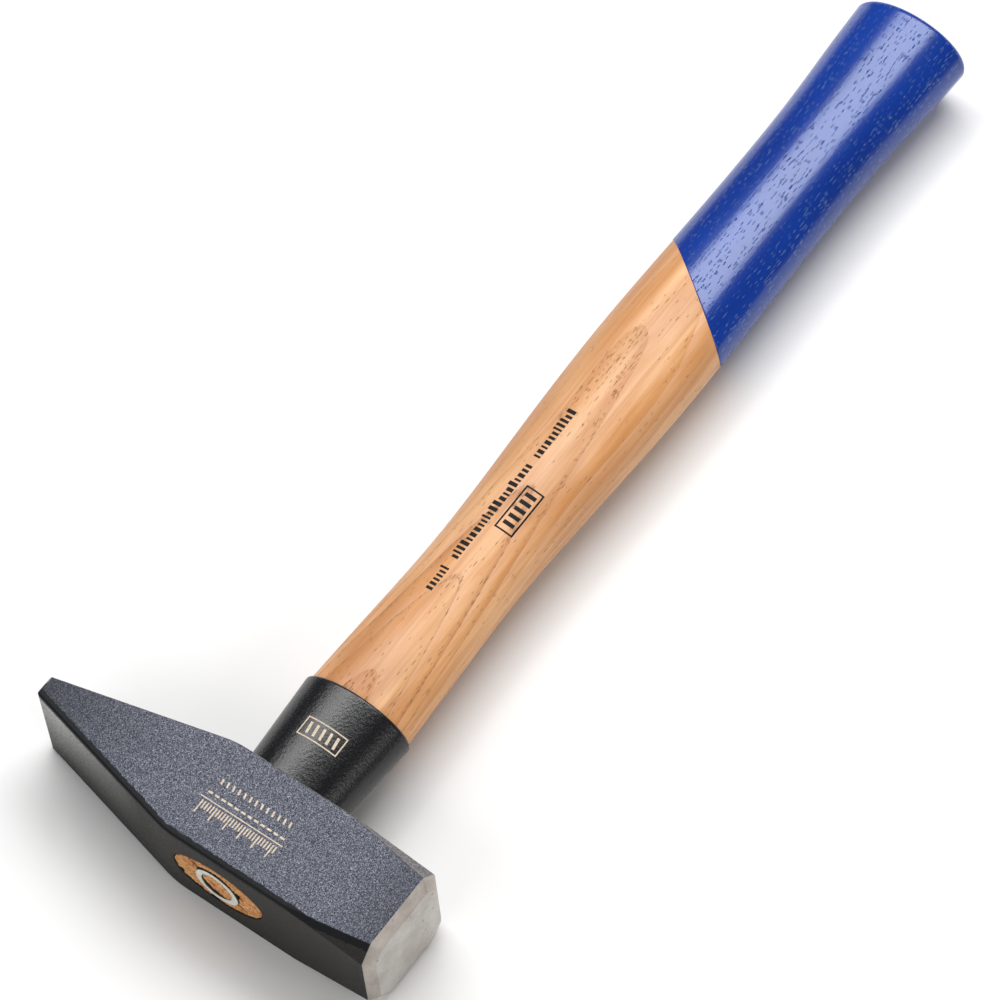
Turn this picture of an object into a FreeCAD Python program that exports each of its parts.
import FreeCAD, Part
import math
import os

import Sketcher

# Cross-peen hammer, 800 g class, with a hickory handle. Millimetres.
#
# The hammer lies on one cheek. X runs along the handle from the eye to the grip, Y runs along the
# head from the striking face to the peen, and Z points up through the cheeks. The origin is on the
# lower cheek, straight below the middle of the eye.

DRIVING_SIZES = (
    # Forged head.
    ("head_length", 129.0, "striking face to peen edge"),
    ("head_height", 33.8, "along the handle"),
    ("head_width", 34.0, "cheek to cheek"),
    ("peen_reach", 73.7, "eye axis to peen edge"),
    ("taper_start", 16.6, "eye axis to the knees of the peen"),
    ("peen_thickness", 6.3, "across the peen edge"),
    ("knee_radius", 33.0, "blend where the peen starts to taper"),
    ("peen_edge_radius", 1.6, "rounding of the peen edge"),
    ("flare_length", 32.0, "corner flares, back from the striking face"),
    ("flare_along_handle", 5.2, "corner flare at the face, along X"),
    ("flare_across", 5.8, "corner flare at the face, along Z"),
    ("flare_margin", 6.0, "how far the flare cut runs past the corner"),
    ("face_bevel", 2.8, "ground bevel round the striking face"),
    # Eye: wide at both mouths, narrow in the middle.
    ("eye_outer_length", 15.8, "half, at the outer mouth"),
    ("eye_outer_width", 9.7, "half, at the outer mouth"),
    ("eye_waist_length", 14.4, "half, in the middle"),
    ("eye_waist_width", 8.8, "half, in the middle"),
    ("eye_inner_length", 15.0, "half, at the handle side"),
    ("eye_inner_width", 9.3, "half, at the handle side"),
    ("eye_outer_offset", -0.5, "outer mouth, towards the striking face"),
    ("tenon_clearance", 0.1, "wood to steel, round the tenon"),
    # Steel sleeve under the head.
    ("sleeve_wall", 1.1, "sheet thickness"),
    ("sleeve_rim_radius", 0.9, "rolled outer edge of the rim"),
    # Ring wedge.
    ("ring_radius", 7.7, "outer, at the driven end"),
    ("ring_bore", 5.6, "inner radius at the driven end"),
    ("ring_edge_radius", 7.1, "middle of the cutting edge"),
    ("ring_edge_land", 0.4, "thickness left at the cutting edge"),
    ("ring_depth", 12.0, "length of the ring"),
    ("ring_break", 0.5, "broken outer edge"),
    ("ring_proud", 0.9, "stands out of the head"),
    ("core_proud", 0.5, "wood inside the ring, out of the head"),
    # Handle and its lacquer.
    ("grip_end_radius", 2.4, "rounding of the grip end"),
    ("coat_thickness", 0.25, "dip lacquer"),
    ("coat_start", 217.0, "middle of the slanted lacquer edge"),
    ("coat_slant", 36.7, "degrees, slant of the lacquer edge"),
)

# Oval sections of the shaft: name, place along the handle, half width, half depth.
SHAFT_SECTIONS = (
    ("shoulder", 16.9, 15.35, 10.45),
    ("rim", 49.9, 17.45, 11.5),
    ("neck", 76.0, 16.4, 11.4),
    ("waist", 104.0, 15.4, 11.3),
    ("rise", 150.0, 17.0, 11.9),
    ("belly", 200.0, 18.35, 12.55),
    ("fall", 235.0, 17.6, 12.35),
    ("hollow", 266.0, 17.2, 12.35),
    ("swell", 292.0, 17.55, 12.65),
    ("knob", 316.0, 18.85, 13.15),
    ("end", 333.7, 19.55, 13.6),
)

REACH = 80.0  # larger than any half section, for cutting boxes
TOLERANCE = 1e-4

doc = FreeCAD.newDocument("cross_peen_hammer")


# ---------------------------------------------------------------- sheet and small helpers


def make_sheet():
    """The spreadsheet that every size below is bound to."""
    sheet = doc.addObject("Spreadsheet::Sheet", "sizes")
    rows = [(alias, value, note) for alias, value, note in DRIVING_SIZES]
    for name, place, half_width, half_depth in SHAFT_SECTIONS:
        rows.append((name + "_place", place, "along the handle"))
        rows.append((name + "_half_width", half_width, "along the head"))
        rows.append((name + "_half_depth", half_depth, "cheek to cheek"))
    for row, (alias, value, note) in enumerate(rows, start=1):
        sheet.set(f"A{row}", alias)
        sheet.set(f"B{row}", str(value))
        sheet.set(f"C{row}", note)
        sheet.setAlias(f"B{row}", alias)
    doc.recompute()
    return sheet


def origin_plane(body, role):
    """One of a body's own origin planes, by its role."""
    return next(plane for plane in body.Origin.OriginFeatures if plane.Role == role)


def new_sketch(body, name, role):
    """An empty sketch on one of the body's origin planes."""
    sketch = body.newObject("Sketcher::SketchObject", name)
    sketch.AttachmentSupport = [(origin_plane(body, role), "")]
    sketch.MapMode = "FlatFace"
    return sketch


def add_polygon(sketch, points):
    """A closed chain of straight edges; returns the index of the first one."""
    corners = [FreeCAD.Vector(across, up, 0) for across, up in points]
    ends = corners[1:] + corners[:1]
    first = sketch.GeometryCount
    for start, end in zip(corners, ends):
        sketch.addGeometry(Part.LineSegment(start, end), False)
    count = len(corners)
    for step in range(count):
        following = first + (step + 1) % count
        sketch.addConstraint(Sketcher.Constraint("Coincident", first + step, 2, following, 1))
    return first


def bind_distance(sketch, kind, ends, expression):
    """A directed distance between two points, bound to an expression on the sheet."""
    value = doc.sizes.evalExpression(expression.replace("sizes.", ""))
    value = getattr(value, "Value", value)
    index = sketch.addConstraint(Sketcher.Constraint(kind, *ends, value))
    sketch.setExpression(f"Constraints[{index}]", expression)


def edges_where(shape, wanted):
    """Names of the edges whose middle point passes a test."""
    names = []
    for number, edge in enumerate(shape.Edges, start=1):
        middle = edge.valueAt((edge.FirstParameter + edge.LastParameter) / 2)
        if wanted(edge, middle):
            names.append(f"Edge{number}")
    return names


def size(alias):
    """A cell's value, for geometry that has to be found or compared in code."""
    return float(doc.sizes.get(alias))


def oval(name, place, half_width, half_depth, offset="0"):
    """An oval section across the handle's axis, each size an expression on the sheet."""
    section = doc.addObject("Part::Ellipse", name)
    section.Placement.Rotation = FreeCAD.Rotation(
        FreeCAD.Vector(0, 1, 0), FreeCAD.Vector(0, 0, 1), FreeCAD.Vector(1, 0, 0), "ZXY"
    )
    section.setExpression("MajorRadius", half_width)
    section.setExpression("MinorRadius", half_depth)
    section.setExpression("Placement.Base.x", place)
    section.setExpression("Placement.Base.y", offset)
    section.setExpression("Placement.Base.z", "sizes.head_width / 2")
    return section


def loft(name, sections, ruled=False):
    """A closed solid through oval sections."""
    solid = doc.addObject("Part::Loft", name)
    solid.Sections = sections
    solid.Solid = True
    solid.Ruled = ruled
    return solid


def cut(name, base, tool):
    """A boolean difference that keeps both operands parametric."""
    result = doc.addObject("Part::Cut", name)
    result.Base = base
    result.Tool = tool
    return result


def round_edges(name, base, wanted, radius_alias):
    """A Part fillet on the edges that pass a test."""
    doc.recompute()
    radius = size(radius_alias)
    result = doc.addObject("Part::Fillet", name)
    result.Base = base
    numbers = [int(edge[len("Edge"):]) for edge in edges_where(base.Shape, wanted)]
    result.Edges = [(number, radius, radius) for number in numbers]
    return result


# ---------------------------------------------------------------- forged head


def head_outline(body):
    """Side view of the head: a square bar that tapers to the peen."""
    half = size("head_height") / 2
    tip = size("peen_thickness") / 2
    face = size("peen_reach") - size("head_length")
    knee = size("taper_start")
    reach = size("peen_reach")
    sketch = new_sketch(body, "cheek_outline", "XY_Plane")
    points = [(-half, face), (half, face), (half, knee), (tip, reach), (-tip, reach), (-half, knee)]
    first = add_polygon(sketch, points)
    face_line, side_line, tip_line = first, first + 1, first + 3
    for left, right in ((first, first), (first + 5, first + 1), (first + 3, first + 3)):
        sketch.addConstraint(Sketcher.Constraint("Symmetric", left, 1, right, 2, -2))
    sketch.addConstraint(Sketcher.Constraint("Vertical", side_line))
    bind_distance(sketch, "DistanceX", (face_line, 1, face_line, 2), "sizes.head_height")
    bind_distance(sketch, "DistanceX", (tip_line, 2, tip_line, 1), "sizes.peen_thickness")
    bind_distance(sketch, "DistanceY", (-1, 1, side_line, 2), "sizes.taper_start")
    bind_distance(sketch, "DistanceY", (-1, 1, tip_line, 1), "sizes.peen_reach")
    bind_distance(sketch, "DistanceY", (face_line, 1, -1, 1), "sizes.head_length - sizes.peen_reach")
    return sketch


def flare_sketch(body):
    """A triangle over each corner of the striking face; its long side is the flare's edge."""
    half_height = size("head_height") / 2
    half_width = size("head_width") / 2
    margin = size("flare_margin")
    drop_x = size("flare_along_handle")
    drop_z = size("flare_across")
    sketch = new_sketch(body, "corner_flares", "XZ_Plane")
    sketch.setExpression("AttachmentOffset.Base.z", "sizes.head_length - sizes.peen_reach")
    leg_x = margin + drop_x + margin * drop_x / drop_z
    leg_z = margin + drop_z + margin * drop_z / drop_x
    leg_x_expression = (
        "sizes.flare_margin + sizes.flare_along_handle"
        " + sizes.flare_margin * sizes.flare_along_handle / sizes.flare_across"
    )
    leg_z_expression = (
        "sizes.flare_margin + sizes.flare_across"
        " + sizes.flare_margin * sizes.flare_across / sizes.flare_along_handle"
    )
    for side_x in (-1, 1):
        for side_z in (-1, 1):
            corner = (side_x * (half_height + margin), side_z * (half_width + margin))
            end_x = (corner[0] - side_x * leg_x, corner[1])
            end_z = (corner[0], corner[1] - side_z * leg_z)
            first = add_polygon(sketch, [corner, end_x, end_z])
            along, upright = first, first + 2
            sketch.addConstraint(Sketcher.Constraint("Horizontal", along))
            sketch.addConstraint(Sketcher.Constraint("Vertical", upright))
            centre, near = (-1, 1), (along, 1)
            across_ends = centre + near if side_x > 0 else near + centre
            up_ends = centre + near if side_z > 0 else near + centre
            across = "sizes.head_height / 2 + sizes.flare_margin"
            up = "sizes.head_width / 2 + sizes.flare_margin"
            bind_distance(sketch, "DistanceX", across_ends, across)
            bind_distance(sketch, "DistanceY", up_ends, up)
            leg_x_ends = (along, 2, along, 1) if side_x > 0 else (along, 1, along, 2)
            leg_z_ends = (upright, 1, upright, 2) if side_z > 0 else (upright, 2, upright, 1)
            bind_distance(sketch, "DistanceX", leg_x_ends, leg_x_expression)
            bind_distance(sketch, "DistanceY", leg_z_ends, leg_z_expression)
    return sketch


def make_head_blank():
    """The forging without its eye, built about its own middle and lifted onto the lower cheek."""
    body = doc.addObject("PartDesign::Body", "head_blank")
    body.setExpression("Placement.Base.z", "sizes.head_width / 2")

    pad = body.newObject("PartDesign::Pad", "bar")
    pad.Profile = head_outline(body)
    pad.Midplane = True
    pad.setExpression("Length", "sizes.head_width")
    doc.recompute()

    knees = body.newObject("PartDesign::Fillet", "peen_knees")
    knee = size("taper_start")
    knees.Base = (pad, edges_where(pad.Shape, lambda edge, middle: abs(middle.y - knee) < TOLERANCE
                                   and abs(middle.z) < TOLERANCE))
    knees.setExpression("Radius", "sizes.knee_radius")
    doc.recompute()

    tip = body.newObject("PartDesign::Fillet", "peen_edge")
    reach = size("peen_reach")
    tip.Base = (knees, edges_where(knees.Shape, lambda edge, middle: abs(middle.y - reach) < TOLERANCE
                                   and abs(middle.x) > TOLERANCE and abs(middle.z) < TOLERANCE))
    tip.setExpression("Radius", "sizes.peen_edge_radius")
    doc.recompute()

    flares = body.newObject("PartDesign::Pocket", "flares")
    flares.Profile = flare_sketch(body)
    flares.setExpression("Length", "sizes.flare_length")
    flares.setExpression(
        "TaperAngle",
        "-atan(sizes.flare_along_handle * sizes.flare_across / sizes.flare_length"
        " / sqrt(sizes.flare_along_handle ^ 2 + sizes.flare_across ^ 2))",
    )
    before = tip.Shape.Volume
    doc.recompute()
    print("flares remove", round(before - flares.Shape.Volume, 1), "mm3")

    bevel = body.newObject("PartDesign::Chamfer", "ground_bevel")
    face = size("peen_reach") - size("head_length")
    striking = [
        f"Face{number}"
        for number, candidate in enumerate(flares.Shape.Faces, start=1)
        if abs(candidate.CenterOfMass.y - face) < TOLERANCE
    ]
    bevel.Base = (flares, striking)
    bevel.setExpression("Size", "sizes.face_bevel")
    body.Tip = bevel
    return body


def eye_sections(prefix, clearance, stretch="0"):
    """The eye's two mouths and its waist, or the same three sections of the tenon inside it."""
    half = "sizes.head_height / 2"
    return [
        oval(prefix + "_outer", f"-{half} - {stretch}", f"sizes.eye_outer_length - {clearance}",
             f"sizes.eye_outer_width - {clearance}", "sizes.eye_outer_offset"),
        oval(prefix + "_waist", "0", f"sizes.eye_waist_length - {clearance}",
             f"sizes.eye_waist_width - {clearance}"),
        oval(prefix + "_inner", half, f"sizes.eye_inner_length - {clearance}",
             f"sizes.eye_inner_width - {clearance}"),
    ]


def make_head():
    """The forging with its eye cut through."""
    eye = loft("eye", eye_sections("eye", "0"))
    return cut("hammer_head", make_head_blank(), eye)


# ---------------------------------------------------------------- ring wedge


def make_ring_wedge():
    """A turned steel ring, thick at its driven end and sharp at the other."""
    body = doc.addObject("PartDesign::Body", "ring_wedge")
    body.setExpression("Placement.Base.x", "-sizes.head_height / 2 - sizes.ring_proud")
    body.setExpression("Placement.Base.y", "sizes.eye_outer_offset")
    body.setExpression("Placement.Base.z", "sizes.head_width / 2")

    sketch = new_sketch(body, "ring_profile", "XY_Plane")
    bore, radius, edge = size("ring_bore"), size("ring_radius"), size("ring_edge_radius")
    land, depth, broken = size("ring_edge_land"), size("ring_depth"), size("ring_break")
    first = add_polygon(sketch, [
        (0, bore), (depth, edge - land / 2), (depth, edge + land / 2), (broken, radius),
        (0, radius - broken),
    ])
    inner_wall, cutting_edge, outer_wall, broken_edge, driven_end = range(first, first + 5)
    sketch.addConstraint(Sketcher.Constraint("Vertical", cutting_edge))
    sketch.addConstraint(Sketcher.Constraint("Vertical", driven_end))
    sketch.addConstraint(Sketcher.Constraint("PointOnObject", inner_wall, 1, -2))
    bind_distance(sketch, "DistanceY", (-1, 1, inner_wall, 1), "sizes.ring_bore")
    bind_distance(sketch, "DistanceX", (-1, 1, cutting_edge, 1), "sizes.ring_depth")
    bind_distance(sketch, "DistanceY", (-1, 1, cutting_edge, 1),
                  "sizes.ring_edge_radius - sizes.ring_edge_land / 2")
    bind_distance(sketch, "DistanceY", (cutting_edge, 1, cutting_edge, 2), "sizes.ring_edge_land")
    bind_distance(sketch, "DistanceY", (-1, 1, outer_wall, 2), "sizes.ring_radius")
    bind_distance(sketch, "DistanceX", (-1, 1, outer_wall, 2), "sizes.ring_break")
    bind_distance(sketch, "DistanceY", (-1, 1, broken_edge, 2), "sizes.ring_radius - sizes.ring_break")

    turned = body.newObject("PartDesign::Revolution", "turned_ring")
    turned.Profile = sketch
    turned.ReferenceAxis = (sketch, ["H_Axis"])
    turned.Angle = 360
    body.Tip = turned
    return body


# ---------------------------------------------------------------- sleeve, handle, lacquer


def shaft_section(name, prefix="", extra="0"):
    """One named oval of the shaft, grown by an even amount."""
    return oval(
        prefix + name,
        f"sizes.{name}_place",
        f"sizes.{name}_half_width + {extra}",
        f"sizes.{name}_half_depth + {extra}",
    )


def at_grip_end(edge, middle):
    """True for the rim of the grip's end face."""
    return middle.x > size("end_place") - TOLERANCE


def make_sleeve(core):
    """The oval guard tube, its outer rim edge rounded over."""
    wall = "sizes.sleeve_wall"
    outer = loft(
        "sleeve_outside",
        [shaft_section("shoulder", "sleeve_", wall), shaft_section("rim", "sleeve_", wall)],
        ruled=True,
    )
    rim = size("rim_place")
    rounded = round_edges("sleeve_rounded", outer, lambda edge, middle: middle.x > rim - TOLERANCE,
                          "sleeve_rim_radius")
    return cut("handle_sleeve", rounded, core)


def make_handle(core, ring):
    """The hickory handle: tenon, sleeved neck and shaft in one piece of wood."""
    tenon = loft("tenon", eye_sections("tenon", "sizes.tenon_clearance"))
    names = [name for name, *_ in SHAFT_SECTIONS if name != "shoulder"]
    shaft = loft("shaft", [shaft_section(name, "wood_") for name in names])
    rounded = round_edges("shaft_rounded", shaft, at_grip_end, "grip_end_radius")
    plug = doc.addObject("Part::Cylinder", "ring_plug")
    plug.setExpression("Radius", "(sizes.ring_bore + sizes.ring_radius) / 2")
    plug.setExpression("Height", "sizes.core_proud + sizes.ring_depth / 4")
    plug.Placement.Rotation = FreeCAD.Rotation(FreeCAD.Vector(0, 1, 0), 90)
    plug.setExpression("Placement.Base.x", "-sizes.head_height / 2 - sizes.core_proud")
    plug.setExpression("Placement.Base.y", "sizes.eye_outer_offset")
    plug.setExpression("Placement.Base.z", "sizes.head_width / 2")
    wood = doc.addObject("Part::MultiFuse", "wood")
    wood.Shapes = [tenon, plug, core, rounded]
    return cut("handle", wood, ring)


def make_coating(handle):
    """The lacquer skin over the grip, from its slanted edge to past the end of the wood."""
    coat = "sizes.coat_thickness"
    names = [name for name, *_ in SHAFT_SECTIONS if name not in ("shoulder", "rim", "end")]
    sections = [shaft_section(name, "coat_", coat) for name in names]
    last = shaft_section("end", "coat_", coat)
    last.setExpression("Placement.Base.x", f"sizes.end_place + {coat}")
    outside = loft("coat_outside", sections + [last])
    rounded = round_edges("coat_rounded", outside, at_grip_end, "grip_end_radius")

    dip = doc.addObject("Part::Box", "dip_region")
    dip.Length = dip.Width = dip.Height = 2 * REACH
    slant = math.radians(size("coat_slant"))
    turn = FreeCAD.Rotation(FreeCAD.Vector(0, 0, 1), -math.degrees(slant))
    corner = turn.multVec(FreeCAD.Vector(0, -REACH, -REACH))
    dip.Placement = FreeCAD.Placement(FreeCAD.Vector(size("coat_start"), 0, 0) + corner, turn)

    dipped = doc.addObject("Part::MultiCommon", "dipped")
    dipped.Shapes = [rounded, dip]
    return cut("grip_coating", dipped, handle)


# ---------------------------------------------------------------- build, check, write

make_sheet()
sleeved_core = loft("sleeved_core", [shaft_section("shoulder"), shaft_section("rim")], ruled=True)
hammer_head = make_head()
ring_wedge = make_ring_wedge()
handle_sleeve = make_sleeve(sleeved_core)
handle = make_handle(sleeved_core, ring_wedge)
grip_coating = make_coating(handle)
doc.recompute()

for item in doc.Objects:
    if "Invalid" in item.State or "Error" in item.State:
        raise RuntimeError(f"{item.Name} is in state {item.State}")

sub_parts = (hammer_head, ring_wedge, handle_sleeve, handle, grip_coating)
for piece in sub_parts:
    if piece.Shape.isNull() or not piece.Shape.isValid() or len(piece.Shape.Solids) != 1:
        raise RuntimeError(f"{piece.Label} has no single valid solid")

os.makedirs("parts", exist_ok=True)
for piece in sub_parts:
    piece.Shape.exportStep(f"parts/{piece.Label}.step")
    box = piece.Shape.BoundBox
    print(
        f"{piece.Label}: {piece.Shape.Volume / 1000:.2f} cm3,"
        f" X {box.XMin:.2f} to {box.XMax:.2f}, Y {box.YMin:.2f} to {box.YMax:.2f},"
        f" Z {box.ZMin:.2f} to {box.ZMax:.2f}"
    )
